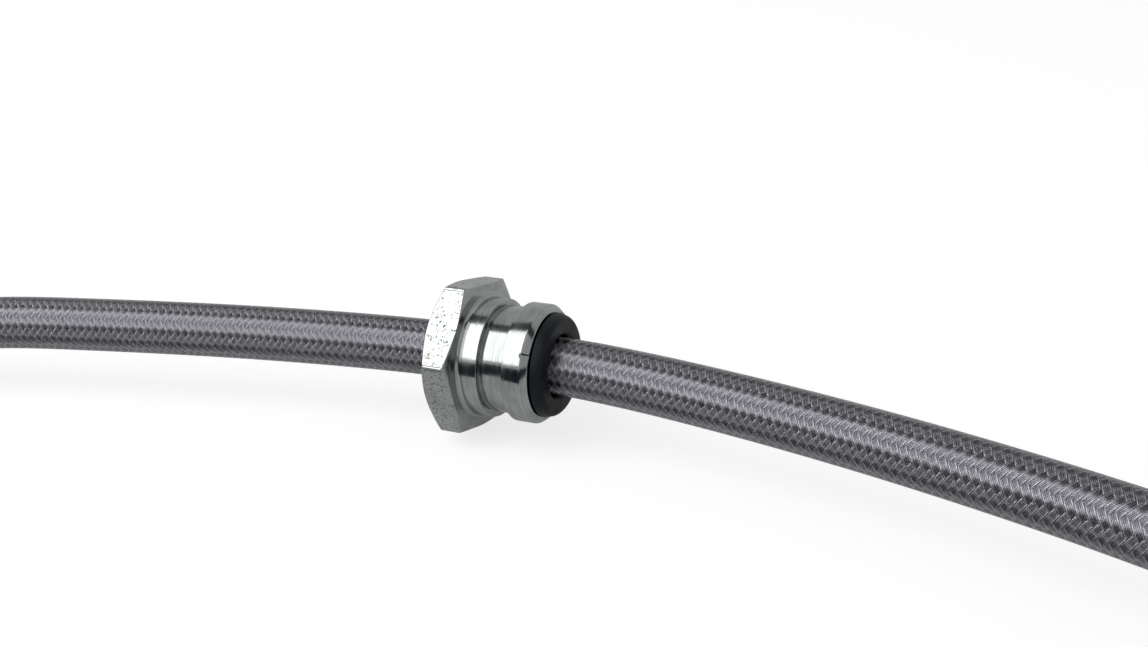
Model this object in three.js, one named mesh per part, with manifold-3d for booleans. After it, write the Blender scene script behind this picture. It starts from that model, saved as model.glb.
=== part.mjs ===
// Braided brake hose with a hexagonal centre collar, lying on a flat surface.
// Millimetres, +Z up. The collar's axis runs along X, with its barrel towards +X.

import * as THREE from "three";
import { NURBSCurve } from "three/addons/curves/NURBSCurve.js";
import { mergeVertices } from "three/addons/utils/BufferGeometryUtils.js";
import Module from "manifold-3d";

// Hose layers, from the clear jacket inwards.
const jacketDiameter = 7.5;
const jacketWall = 0.5;
const braidWall = 0.55;
const innerTubeWall = 0.8;
const layerGap = 0.15;

// Centre collar: a hexagonal flange and a turned barrel with a groove for the fixing clip.
const hexAcrossFlats = 19;
const hexThickness = 4.1;
const hexFrontBevel = 0.5;
const hexBackBevel = 0.85;
const hexRoll = 18.2;
const registerStep = 0.4;
const registerLength = 0.35;
const shoulderLength = 2.7;
const clipGrooveDepth = 0.75;
const clipGrooveWidth = 3.5;
const grooveWall = 0.95;
const undercutDepth = 0.15;
const undercutWidth = 0.5;
const noseLength = 3.35;
const noseBevelLength = 0.8;
const noseBevelDepth = 0.65;
const backWall = 1.5;

// Rubber bush that holds the hose in the collar.
const bushWall = 1.9;
const bushLipWall = 2.8;
const bushLipTaper = 0.3;
const bushProtrusion = 1.65;
const bushEdge = 0.4;
const spigotWall = 0.9;
const spigotProtrusion = 0.7;
const bushGap = 0.15;

// Crimped ferrule and hose stem, alike at both ends.
const ferruleWall = 1.45;
const ferruleLength = 22;
const ferruleEndWall = 2;
const crimpDepth = 0.35;
const crimpWidth = 5.5;
const crimpRamp = 0.7;
const crimpCount = 2;
const stemBore = 1.6;
const stemLead = 3;
const barbCount = 5;
const barbDepth = 0.2;
const neckDiameter = 5.8;
const neckFlangeDiameter = 7.2;
const fitGap = 0.3;
const stemGap = 0.25;

// Union end: a hexagon with a threaded socket for the rigid pipe.
const unionHexAcrossFlats = 14;
const unionHexLength = 14;
const unionBevel = 0.9;
const socketDiameter = 8.9;
const socketDepth = 10.5;
const socketLeadIn = 0.7;
const seatDiameter = 5.2;
const seatHeight = 1.6;
const passageDiameter = 2.5;

// Banjo end: a flat eye for a hollow bolt.
const eyeDiameter = 16;
const eyeThickness = 10;
const eyeHoleDiameter = 10.1;
const eyeEdge = 0.4;
const eyeReach = 11.6;
const banjoNeckDiameter = 8.4;
const banjoCollarDiameter = 9.4;
const banjoCollarLength = 2.2;

// Fineness of the round faces.
const collarSegments = 48;
const fittingSegments = 32;
const stemSegments = 16;
const hoseSides = 12;
const hoseSteps = 40;

const braidDiameter = jacketDiameter - 2 * (jacketWall + layerGap);
const innerTubeDiameter = braidDiameter - 2 * (braidWall + layerGap);
const innerTubeBore = innerTubeDiameter - 2 * innerTubeWall;
const hoseHole = jacketDiameter + 2 * fitGap;
const bushDiameter = hoseHole + 2 * bushWall;
const bushLipDiameter = hoseHole + 2 * bushLipWall;
const barrelBore = bushDiameter + 2 * bushGap;
const barrelDiameter = barrelBore + 2 * (grooveWall + clipGrooveDepth);
const ferruleDiameter = hoseHole + 2 * ferruleWall;
const stemDiameter = innerTubeBore - 2 * stemGap;
const hexCornerRadius = hexAcrossFlats / Math.sqrt(3);

// Height of each axis above the surface that the hose lies on.
const collarHeight = hexCornerRadius * Math.cos(THREE.MathUtils.degToRad(hexRoll));
const unionHeight = Math.max(unionHexAcrossFlats, ferruleDiameter) / 2;
const banjoHeight = Math.max(ferruleDiameter, eyeThickness) / 2;
const lyingHeight = jacketDiameter / 2 + layerGap;
const descending = (share, low) => low + share * (collarHeight - low);

// Centre line of the hose, from the union end to the banjo end, as control points of a cubic spline.
const hosePoints = [
  [-164.75, -43.3, unionHeight],
  [-161.0, -41.9, unionHeight],
  [-153.5, -39.15, unionHeight],
  [-146.0, -36.4, unionHeight],
  [-136.5, -32.9, 6.3],
  [-127.1, -29.5, 4.4],
  [-117.7, -26.1, lyingHeight],
  [-108.2, -22.9, descending(0.06, lyingHeight)],
  [-96.8, -19.2, descending(0.4, lyingHeight)],
  [-85.3, -15.8, descending(0.8, lyingHeight)],
  [-73.7, -12.6, collarHeight],
  [-62.1, -9.6, collarHeight],
  [-48.5, -6.4, collarHeight],
  [-34.8, -3.6, collarHeight],
  [-22.9, -1.7, collarHeight],
  [-15.0, -0.7, collarHeight],
  [-9.0, -0.1, collarHeight],
  [-5.0, 0.0, collarHeight],
  [1.0, 0.0, collarHeight],
  [7.0, 0.0, collarHeight],
  [12.0, 0.0, collarHeight],
  [16.0, -0.3, collarHeight],
  [21.9, -1.0, collarHeight],
  [29.8, -2.3, collarHeight],
  [41.6, -4.7, collarHeight],
  [55.2, -8.1, collarHeight],
  [68.6, -12.2, collarHeight],
  [79.9, -16.2, collarHeight],
  [91.0, -20.8, collarHeight],
  [101.9, -25.8, descending(0.72, lyingHeight)],
  [112.5, -31.3, descending(0.28, lyingHeight)],
  [121.3, -36.2, descending(0.03, lyingHeight)],
  [128.2, -40.1, lyingHeight],
  [135.1, -44.2, 4.6],
  [142.8, -48.8, banjoHeight],
  [149.6, -52.9, banjoHeight],
  [156.4, -57.0, banjoHeight],
  [159.8, -59.05, banjoHeight],
];

const zincPlate = new THREE.MeshStandardMaterial({ color: 0xb4b8b6, roughness: 0.28, metalness: 1 });
const rubber = new THREE.MeshStandardMaterial({ color: 0x17191c, roughness: 0.62, metalness: 0 });
const clearPlastic = new THREE.MeshStandardMaterial({ color: 0xdfe1e6, roughness: 0.18, transparent: true, opacity: 0.35 });
const stainlessWire = new THREE.MeshStandardMaterial({ color: 0x9b99a3, roughness: 0.35, metalness: 1 });
const darkPlastic = new THREE.MeshStandardMaterial({ color: 0x38383b, roughness: 0.45, metalness: 0 });

const wasm = await Module();
wasm.setup();

// Boolean cuts and joins work on closed meshes that hold positions only.
function toSolid(geometry) {
  const bare = geometry.clone();
  bare.deleteAttribute("normal");
  bare.deleteAttribute("uv");
  const merged = mergeVertices(bare, 1e-4);
  return new wasm.Manifold(
    new wasm.Mesh({
      numProp: 3,
      vertProperties: merged.attributes.position.array,
      triVerts: new Uint32Array(merged.index.array),
    }),
  );
}

function toGeometry(solid) {
  const { vertProperties, triVerts } = solid.getMesh();
  const geometry = new THREE.BufferGeometry();
  geometry.setAttribute("position", new THREE.BufferAttribute(vertProperties, 3));
  geometry.setIndex(new THREE.BufferAttribute(triVerts, 1));
  geometry.computeVertexNormals();
  return geometry;
}

// A body turned about the X axis, from [x, radius] points in order of rising x, closed on the axis.
function turned(outline, segments) {
  const first = outline[0];
  const last = outline[outline.length - 1];
  const closed = [[first[0], 0], ...outline, [last[0], 0]];
  const profile = closed.map(([x, radius]) => new THREE.Vector2(radius, x));
  return new THREE.LatheGeometry(profile, segments).rotateZ(-Math.PI / 2);
}

// A hexagonal bar along X from x = start, with one corner at cornerAngle from straight up.
function hexBar(acrossFlats, start, length, cornerAngle) {
  const radius = acrossFlats / Math.sqrt(3);
  const corners = [0, 1, 2, 3, 4, 5].map((k) => {
    const angle = THREE.MathUtils.degToRad(cornerAngle + 60 * k);
    return new THREE.Vector2(-radius * Math.cos(angle), -radius * Math.sin(angle));
  });
  const bar = new THREE.ExtrudeGeometry(new THREE.Shape(corners), { depth: length, bevelEnabled: false });
  return bar.rotateY(Math.PI / 2).translate(start, 0, 0);
}

// The cones that take a hexagon's corners off at both ends.
function cornerBevel(acrossFlats, start, length, startBevel, endBevel, segments) {
  const flat = acrossFlats / 2;
  const corner = acrossFlats / Math.sqrt(3);
  const spare = 1.5;
  const run = (bevel) => (bevel * spare * corner - bevel * flat) / (corner - flat);
  const outline = [
    [start, flat],
    [start + run(startBevel), spare * corner],
    [start + length - run(endBevel), spare * corner],
    [start + length, flat],
  ];
  return turned(outline, segments);
}

function hexNut(acrossFlats, start, length, cornerAngle, startBevel, endBevel, segments) {
  const bar = toSolid(hexBar(acrossFlats, start, length, cornerAngle));
  return bar.intersect(toSolid(cornerBevel(acrossFlats, start, length, startBevel, endBevel, segments)));
}

function named(name, geometry, material) {
  const mesh = new THREE.Mesh(geometry, material);
  mesh.name = name;
  return mesh;
}

// The collar is one piece of hexagonal bar: x = 0 is the flange face that seats on the vehicle's bracket.
function centreCollar() {
  const barrel = barrelDiameter / 2;
  const groove = barrel - clipGrooveDepth;
  const grooveEnd = shoulderLength + clipGrooveWidth;
  const nose = grooveEnd + noseLength;
  const back = -hexThickness;
  const outline = [
    [back / 2, barrel],
    [0, barrel + registerStep],
    [registerLength / 2, barrel + registerStep * 0.8],
    [registerLength, barrel],
    [shoulderLength, barrel],
    [shoulderLength, groove - undercutDepth],
    [shoulderLength + undercutWidth, groove - undercutDepth],
    [shoulderLength + undercutWidth, groove],
    [grooveEnd, groove],
    [grooveEnd, barrel],
    [nose - noseBevelLength, barrel],
    [nose, barrel - noseBevelDepth],
  ];
  const spigotBore = hoseHole / 2 + spigotWall + bushGap;
  const bore = [
    [back - 1, spigotBore],
    [back + backWall, spigotBore],
    [back + backWall, barrelBore / 2],
    [nose + 1, barrelBore / 2],
  ];
  const flange = hexNut(hexAcrossFlats, back, hexThickness, hexRoll, hexBackBevel, hexFrontBevel, collarSegments);
  const solid = flange
    .add(toSolid(turned(outline, collarSegments)))
    .subtract(toSolid(turned(bore, collarSegments)));
  return named("center_collar", toGeometry(solid), zincPlate);
}

function rubberBush() {
  const back = -hexThickness;
  const nose = shoulderLength + clipGrooveWidth + noseLength;
  const front = nose + bushProtrusion;
  const body = bushDiameter / 2;
  const lip = bushLipDiameter / 2;
  const spigot = hoseHole / 2 + spigotWall;
  const seat = back + backWall + bushGap;
  const outline = [
    [back - spigotProtrusion, spigot],
    [seat, spigot],
    [seat, body],
    [nose + bushGap, body],
    [nose + bushGap, lip],
    [front - bushEdge, lip - bushLipTaper],
    [front, lip - bushLipTaper - bushEdge],
  ];
  const hole = [
    [back - spigotProtrusion - 1, hoseHole / 2],
    [front - bushEdge, hoseHole / 2],
    [front, hoseHole / 2 + bushEdge],
    [front + 1, hoseHole / 2 + bushEdge],
  ];
  const solid = toSolid(turned(outline, collarSegments)).subtract(toSolid(turned(hole, collarSegments)));
  return named("rubber_bush", toGeometry(solid), rubber);
}

// End pieces are made with their axis along X and the ferrule's mouth at x = 0.
function ferrule(name) {
  const outer = ferruleDiameter / 2;
  const squeezed = outer - crimpDepth;
  const spacing = (ferruleLength - crimpCount * crimpWidth) / (crimpCount + 1);
  const outline = [[0, outer - crimpDepth]];
  outline.push([crimpDepth, outer]);
  for (let k = 0; k < crimpCount; k += 1) {
    const start = spacing + k * (crimpWidth + spacing);
    outline.push([start, outer], [start + crimpRamp, squeezed]);
    outline.push([start + crimpWidth - crimpRamp, squeezed], [start + crimpWidth, outer]);
  }
  outline.push([ferruleLength - crimpDepth, outer], [ferruleLength, outer - crimpDepth]);
  const floorOfCup = ferruleLength - ferruleEndWall;
  const bore = [
    [-1, hoseHole / 2],
    [floorOfCup, hoseHole / 2],
    [floorOfCup, neckDiameter / 2 + fitGap],
    [ferruleLength + 1, neckDiameter / 2 + fitGap],
  ];
  const solid = toSolid(turned(outline, fittingSegments)).subtract(toSolid(turned(bore, fittingSegments)));
  return named(name, toGeometry(solid), zincPlate);
}

// The barbed stem that sits in the inner tube, and the necked flange that the ferrule closes over.
const hoseEnd = ferruleLength - ferruleEndWall - 1;
function stem() {
  const root = stemDiameter / 2 - barbDepth;
  const pitch = (hoseEnd - stemLead) / (barbCount + 1);
  const outline = [[stemLead, root]];
  for (let k = 0; k < barbCount; k += 1) {
    const tip = stemLead + (k + 1) * pitch;
    outline.push([tip, stemDiameter / 2], [tip, root]);
  }
  outline.push([hoseEnd + fitGap, root]);
  outline.push([hoseEnd + fitGap, neckFlangeDiameter / 2]);
  outline.push([ferruleLength - ferruleEndWall - fitGap, neckFlangeDiameter / 2]);
  outline.push([ferruleLength - ferruleEndWall - fitGap, neckDiameter / 2]);
  outline.push([ferruleLength + fitGap, neckDiameter / 2]);
  return toSolid(turned(outline, stemSegments));
}

function stemPassage(end) {
  const widens = ferruleLength - ferruleEndWall;
  const outline = [
    [stemLead - 1, stemBore / 2],
    [widens, stemBore / 2],
    [widens, passageDiameter / 2],
    [end, passageDiameter / 2],
  ];
  return toSolid(turned(outline, stemSegments));
}

function unionFitting() {
  const start = ferruleLength + fitGap;
  const mouth = start + unionHexLength;
  const floorOfSocket = mouth - socketDepth;
  const wall = socketDiameter / 2;
  const socket = [
    [floorOfSocket, wall],
    [mouth - socketLeadIn, wall],
    [mouth, wall + socketLeadIn],
    [mouth + 1, wall + socketLeadIn],
  ];
  const seat = [
    [floorOfSocket - fitGap, seatDiameter / 2],
    [floorOfSocket, seatDiameter / 2],
    [floorOfSocket + seatHeight, passageDiameter / 2 + fitGap],
  ];
  const flatDown = 30;
  const body = hexNut(
    unionHexAcrossFlats,
    start,
    unionHexLength,
    flatDown,
    unionBevel,
    unionBevel,
    fittingSegments,
  );
  const solid = body
    .subtract(toSolid(turned(socket, fittingSegments)))
    .add(toSolid(turned(seat, fittingSegments)))
    .add(stem())
    .subtract(stemPassage(mouth));
  return named("union_fitting", toGeometry(solid), zincPlate);
}

// The eye lies flat, with its hole upright, in line with the stem.
function banjoFitting() {
  const start = ferruleLength + fitGap;
  const centre = start + eyeReach;
  const half = eyeThickness / 2;
  const eyeOutline = [
    [-half, eyeDiameter / 2 - eyeEdge],
    [eyeEdge - half, eyeDiameter / 2],
    [half - eyeEdge, eyeDiameter / 2],
    [half, eyeDiameter / 2 - eyeEdge],
  ];
  const hole = eyeHoleDiameter / 2;
  const holeOutline = [
    [-half - 1, hole + eyeEdge],
    [-half, hole + eyeEdge],
    [eyeEdge - half, hole],
    [half - eyeEdge, hole],
    [half, hole + eyeEdge],
    [half + 1, hole + eyeEdge],
  ];
  const upright = (outline) => toSolid(turned(outline, collarSegments).rotateY(-Math.PI / 2).translate(centre, 0, 0));
  const neck = [
    [start, banjoCollarDiameter / 2 - eyeEdge],
    [start + eyeEdge, banjoCollarDiameter / 2],
    [start + banjoCollarLength, banjoCollarDiameter / 2],
    [start + banjoCollarLength + eyeEdge, banjoNeckDiameter / 2],
    [centre - hole / 2, banjoNeckDiameter / 2],
  ];
  const solid = toSolid(turned(neck, fittingSegments))
    .add(upright(eyeOutline))
    .add(stem())
    .subtract(upright(holeOutline))
    .subtract(stemPassage(centre));
  return named("banjo_fitting", toGeometry(solid), zincPlate);
}

// A layer of the hose: a ring section carried along the centre line.
function hoseLayer(name, outerDiameter, bore, curve, material) {
  const circle = (diameter) => {
    const points = [];
    for (let k = 0; k < hoseSides; k += 1) {
      const angle = (2 * Math.PI * k) / hoseSides;
      points.push(new THREE.Vector2(Math.cos(angle), Math.sin(angle)).multiplyScalar(diameter / 2));
    }
    return points;
  };
  const section = new THREE.Shape(circle(outerDiameter));
  section.holes.push(new THREE.Path(circle(bore)));
  const tube = new THREE.ExtrudeGeometry(section, { steps: hoseSteps, extrudePath: curve });
  return named(name, tube, material);
}

function hoseCurve() {
  const degree = 3;
  const spans = hosePoints.length - degree;
  const knots = [];
  for (let k = -degree; k <= spans + degree; k += 1) {
    knots.push(Math.min(Math.max(k, 0), spans) / spans);
  }
  const controls = hosePoints.map(([x, y, z]) => new THREE.Vector4(x, y, z, 1));
  return new NURBSCurve(degree, knots, controls);
}

// An end fitting's group: it points away from the hose along the line of the last two hose points.
function endGroup(lastPoint, innerPoint, meshes) {
  const outwards = new THREE.Vector3(...lastPoint).sub(new THREE.Vector3(...innerPoint)).normalize();
  const group = new THREE.Group();
  group.add(...meshes);
  group.rotation.z = Math.atan2(outwards.y, outwards.x);
  group.position.set(...lastPoint).addScaledVector(outwards, -hoseEnd);
  return group;
}

const collarGroup = new THREE.Group();
collarGroup.position.z = collarHeight;
collarGroup.add(centreCollar(), rubberBush());

const unionGroup = endGroup(hosePoints[0], hosePoints[1], [ferrule("union_ferrule"), unionFitting()]);
const lastHosePoint = hosePoints.length - 1;
const banjoGroup = endGroup(hosePoints[lastHosePoint], hosePoints[lastHosePoint - 1], [
  ferrule("banjo_ferrule"),
  banjoFitting(),
]);

const fittings = new THREE.Group();
fittings.add(unionGroup, collarGroup, banjoGroup);

const curve = hoseCurve();
const hose = new THREE.Group();
hose.add(
  hoseLayer("hose_jacket", jacketDiameter, jacketDiameter - 2 * jacketWall, curve, clearPlastic),
  hoseLayer("wire_braid", braidDiameter, braidDiameter - 2 * braidWall, curve, stainlessWire),
  hoseLayer("inner_tube", innerTubeDiameter, innerTubeBore, curve, darkPlastic),
);

// The origin is at the middle of the fittings' footprint, on the surface that they lie on.
const brakeHose = new THREE.Group();
brakeHose.add(fittings, hose);
brakeHose.updateMatrixWorld(true);
const footprint = new THREE.Box3().setFromObject(fittings);
const middle = footprint.getCenter(new THREE.Vector3());
brakeHose.position.set(-middle.x, -middle.y, -footprint.min.z);

export default brakeHose;
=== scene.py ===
"""Looks of a braided brake hose with a clear jacket, a hexagonal centre collar and crimped ends.

Lengths are in metres, in the frame of the packed model, with +Z up. The collar's axis runs along X.
"""

import math

import bmesh
import bpy
import numpy as np
from mathutils import Matrix, Vector


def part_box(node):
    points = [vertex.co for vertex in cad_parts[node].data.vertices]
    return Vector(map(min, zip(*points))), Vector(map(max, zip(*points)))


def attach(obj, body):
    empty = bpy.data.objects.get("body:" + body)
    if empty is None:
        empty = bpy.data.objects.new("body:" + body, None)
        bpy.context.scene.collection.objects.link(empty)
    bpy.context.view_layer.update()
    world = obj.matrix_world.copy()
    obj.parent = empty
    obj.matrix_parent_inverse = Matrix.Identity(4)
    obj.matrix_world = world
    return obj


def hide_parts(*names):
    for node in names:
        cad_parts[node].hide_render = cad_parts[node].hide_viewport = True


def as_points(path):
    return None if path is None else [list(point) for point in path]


bl_info = {
    "name": "Brake Hose",
    "version": (1, 0, 0),
    "blender": (4, 5, 0),
    "location": "3D View > Sidebar > Brake Hose",
    "description": "Builds the pieces, finishes and studio of a braided brake hose",
    "category": "Object",
}

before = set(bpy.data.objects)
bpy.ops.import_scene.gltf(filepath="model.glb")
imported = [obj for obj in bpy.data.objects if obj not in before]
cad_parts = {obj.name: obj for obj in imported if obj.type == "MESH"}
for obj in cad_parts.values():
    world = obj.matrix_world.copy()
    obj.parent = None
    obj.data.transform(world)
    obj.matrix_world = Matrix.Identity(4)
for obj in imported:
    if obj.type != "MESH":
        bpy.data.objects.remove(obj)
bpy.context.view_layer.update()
COLLAR_LOW, COLLAR_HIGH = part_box("center_collar")

MM = 0.001
HEX_THICKNESS = 4.1 * MM
HEX_ROUNDING = 0.25 * MM
HOSE_IN_FERRULE = 19 * MM
FERRULE_GAP = 0.3 * MM
STEM_BORE = 0.8 * MM

# Control points of the hose's cubic spline from the union end to the banjo end, in millimetres, with x = 0 at
# the collar's bracket face, y = 0 on the collar's axis and z above the surface that the hose lies on.
HOSE_POINTS = (
    (-164.75, -43.3, 7.0),
    (-161.0, -41.9, 7.0),
    (-153.5, -39.15, 7.0),
    (-146.0, -36.4, 7.0),
    (-136.5, -32.9, 6.3),
    (-127.1, -29.5, 4.4),
    (-117.7, -26.1, 3.9),
    (-108.2, -22.9, 4.2913),
    (-96.8, -19.2, 6.5084),
    (-85.3, -15.8, 9.1167),
    (-73.7, -12.6, 10.4209),
    (-62.1, -9.6, 10.4209),
    (-48.5, -6.4, 10.4209),
    (-34.8, -3.6, 10.4209),
    (-22.9, -1.7, 10.4209),
    (-15.0, -0.7, 10.4209),
    (-9.0, -0.1, 10.4209),
    (-5.0, 0.0, 10.4209),
    (1.0, 0.0, 10.4209),
    (7.0, 0.0, 10.4209),
    (12.0, 0.0, 10.4209),
    (16.0, -0.3, 10.4209),
    (21.9, -1.0, 10.4209),
    (29.8, -2.3, 10.4209),
    (41.6, -4.7, 10.4209),
    (55.2, -8.1, 10.4209),
    (68.6, -12.2, 10.4209),
    (79.9, -16.2, 10.4209),
    (91.0, -20.8, 10.4209),
    (101.9, -25.8, 8.595),
    (112.5, -31.3, 5.7259),
    (121.3, -36.2, 4.0956),
    (128.2, -40.1, 3.9),
    (135.1, -44.2, 4.6),
    (142.8, -48.8, 5.5),
    (149.6, -52.9, 5.5),
    (156.4, -57.0, 5.5),
    (159.8, -59.05, 5.5),
)

# Where the photograph was taken from, measured from the middle of the collar's bracket face.
CAMERA_OFFSET = (0.07782, -0.14096, 0.06834)
CAMERA_RIGHT = (0.91384, 0.40459, -0.0346)
CAMERA_UP = (-0.12128, 0.35328, 0.92762)
CAMERA_FORWARD = (-0.38753, 0.84351, -0.37191)
CAMERA_LENS = 41.46


def length(name, description, default):
    return bpy.props.FloatProperty(
        name=name, description=description, default=default, min=0.0, unit="LENGTH", precision=5
    )


def count(name, description, default, lowest=1):
    return bpy.props.IntProperty(name=name, description=description, default=default, min=lowest)


def amount(name, description, default):
    return bpy.props.FloatProperty(name=name, description=description, default=default, min=0.0)


def colour(name, description, default):
    return bpy.props.FloatVectorProperty(
        name=name, description=description, default=default, size=3, min=0.0, max=1.0, subtype="COLOR"
    )


class BRAKEHOSE_PG_hose(bpy.types.PropertyGroup):
    """Sizes of the hose's layers."""

    jacket_diameter: length("Jacket diameter", "Outside of the clear jacket", 0.0075)
    braid_radius: length("Braid radius", "From the hose's axis to the middle of the woven layer", 0.00305)
    tube_diameter: length("Inner tube diameter", "Outside of the inner tube", 0.0048)
    tube_bore: length("Inner tube bore", "Inside of the inner tube", 0.0032)
    carriers: count("Bundles each way", "Wire bundles that wind in each direction", 12, 4)
    wires: count("Wires in a bundle", "Wires that lie side by side in one bundle", 5, 2)
    lead: length("Braid lead", "Length of hose in which a bundle goes once round", 0.01368)
    bundle_width: length("Bundle width", "Width of one bundle of wires", 0.00093)
    wire_diameter: length("Wire diameter", "Diameter of one wire", 0.00014)
    weave_height: length("Weave height", "How far a bundle rises and sinks as it crosses the others", 0.00013)


class BRAKEHOSE_PG_collar(bpy.types.PropertyGroup):
    """Sizes of the centre collar and its rubber bush."""

    across_flats: length("Across flats", "Width of the hexagon", 0.019)
    hex_thickness: length("Hexagon thickness", "Length of the hexagon along the hose", HEX_THICKNESS)
    roll: bpy.props.FloatProperty(
        name="Roll",
        description="Turn of one corner from straight up",
        default=math.radians(18.2),
        subtype="ANGLE",
    )
    barrel_diameter: length("Barrel diameter", "Outside of the turned barrel", 0.0156)
    groove_depth: length("Clip groove depth", "How deep the clip's groove is", 0.00075)
    shoulder_length: length("Shoulder length", "From the hexagon to the groove", 0.0027)
    groove_width: length("Clip groove width", "Width of the clip's groove", 0.0035)
    nose_length: length("Nose length", "From the groove to the end of the barrel", 0.00335)
    bush_bore: length("Bush bore", "Inside of the rubber bush", 0.0081)
    bush_diameter: length("Bush diameter", "Outside of the bush in the collar", 0.0119)
    lip_diameter: length("Bush lip diameter", "Outside of the bush's lip where it meets the barrel", 0.0137)
    lip_taper: length("Bush lip taper", "How much smaller the lip's radius is at its front", 0.0003)
    lip_edge: length("Bush lip edge", "Size of the slope round the lip's front and its hole", 0.0004)
    lip_length: length("Bush lip length", "How far the bush stands out of the barrel", 0.00165)


class BRAKEHOSE_PG_ends(bpy.types.PropertyGroup):
    """Sizes of the crimped ferrules and the end fittings."""

    ferrule_diameter: length("Ferrule diameter", "Outside of the crimped ferrule", 0.011)
    ferrule_length: length("Ferrule length", "Length of the ferrule", 0.022)
    crimp_depth: length("Crimp depth", "How far the crimp is pressed in", 0.00035)
    crimp_sides: count("Crimp sides", "Flats that the crimping dies leave", 8, 3)
    union_across_flats: length("Union across flats", "Width of the union's hexagon", 0.014)
    union_length: length("Union length", "Length of the union's hexagon", 0.014)
    thread_diameter: length("Thread diameter", "Outside of the union's thread", 0.01)
    thread_pitch: length("Thread pitch", "Pitch of the union's thread", 0.001)
    eye_diameter: length("Eye diameter", "Outside of the banjo's eye", 0.016)
    eye_thickness: length("Eye thickness", "Height of the banjo's eye", 0.01)
    eye_bore: length("Eye bore", "Hole of the banjo's eye", 0.0101)


class BRAKEHOSE_PG_finish(bpy.types.PropertyGroup):
    """Colours of the pieces."""

    zinc: colour("Zinc plate", "Colour of the plated collar and fittings", (0.445, 0.47, 0.455))
    wire: colour("Stainless wire", "Colour of the braid's wire", (0.2, 0.195, 0.208))
    jacket: colour("Clear jacket", "Tint of the clear plastic jacket", (0.93, 0.93, 0.97))
    tube: colour("Inner tube", "Colour of the inner tube", (0.04, 0.04, 0.045))
    rubber: colour("Rubber", "Colour of the bush", (0.006, 0.008, 0.012))


class BRAKEHOSE_PG_studio(bpy.types.PropertyGroup):
    """Floor and light."""

    floor_colour: colour("Floor", "Colour of the floor", (0.33, 0.33, 0.33))
    softbox_strength: amount("Softbox", "Brightness of the large softbox", 2.2)
    room_strength: amount("Room", "Brightness of the room around the object", 0.5)


def share_of(values, widths):
    """Values divided by widths, and 0 where a width is 0."""
    widths = np.broadcast_to(widths, values.shape)
    return np.divide(values, widths, out=np.zeros_like(values), where=widths > 0)


def hose_spline(points, samples):
    """Points on a clamped uniform cubic spline."""
    points = np.array(points, float)
    last = len(points) - 3
    knots = np.concatenate([[0.0] * 3, np.arange(last + 1), [last] * 3])
    at = np.linspace(0, last, samples)
    at[-1] -= 1e-9
    basis = ((knots[:-1, None] <= at) & (at < knots[1:, None])).astype(float)
    for degree in (1, 2, 3):
        rows = len(knots) - degree - 1
        first, last_rising = knots[:rows, None], knots[degree : degree + rows, None]
        first_falling, end = knots[1 : rows + 1, None], knots[degree + 1 : degree + 1 + rows, None]
        rising = share_of(at - first, last_rising - first)
        falling = share_of(end - at, end - first_falling)
        basis = rising * basis[:rows] + falling * basis[1 : rows + 1]
    return basis.T @ points


def unit(vectors):
    return vectors / np.linalg.norm(vectors, axis=-1, keepdims=True)


class HoseLine:
    """The hose's centre line, with a direction that turns with it as little as it can."""

    SPLINE_SAMPLES = 4000
    SAMPLES = 3000

    def __init__(self):
        origin = np.array([COLLAR_LOW.x + HEX_THICKNESS, (COLLAR_LOW.y + COLLAR_HIGH.y) / 2, 0.0])
        points = hose_spline(HOSE_POINTS, self.SPLINE_SAMPLES) * MM + origin
        steps = np.linalg.norm(np.diff(points, axis=0), axis=1)
        along = np.concatenate([[0.0], np.cumsum(steps)])
        self.length = along[-1]
        self.s = np.linspace(0, self.length, self.SAMPLES)
        self.points = np.stack([np.interp(self.s, along, points[:, k]) for k in range(3)], axis=1)
        self.tangents = unit(np.gradient(self.points, self.s, axis=0))
        sides = np.empty_like(self.points)
        side = np.cross(self.tangents[0], (0, 0, 1))
        for k, tangent in enumerate(self.tangents):
            side = side - tangent * (side @ tangent)
            side = side / np.linalg.norm(side)
            sides[k] = side
        self.sides = sides
        self.ups = np.cross(sides, self.tangents)
        self.origin = origin

    def _at(self, table, s):
        return np.stack([np.interp(s, self.s, table[:, k]) for k in range(3)], axis=-1)

    def surface(self, s, angle, radius):
        """Points at distance s along the hose, turned by angle round it, at that radius."""
        up, side = self._at(self.ups, s), self._at(self.sides, s)
        outwards = np.cos(angle)[..., None] * up + np.sin(angle)[..., None] * side
        return self._at(self.points, s) + outwards * radius[..., None]


HOSE = HoseLine()
AXIS_HEIGHT = max(z for x, y, z in HOSE_POINTS) * MM
COLLAR_CENTRE = Vector((HOSE.origin[0], HOSE.origin[1], AXIS_HEIGHT))


def grid_faces(rows, columns, closed_rows=False, closed_columns=False, start=0):
    """Quads of a grid of vertices that are numbered row by row."""
    i = np.arange(rows if closed_rows else rows - 1)
    j = np.arange(columns if closed_columns else columns - 1)
    i, j = np.meshgrid(i, j, indexing="ij")
    i2, j2 = (i + 1) % rows, (j + 1) % columns
    quads = np.stack([i * columns + j, i * columns + j2, i2 * columns + j2, i2 * columns + j], axis=-1)
    return quads.reshape(-1, 4) + start


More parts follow.
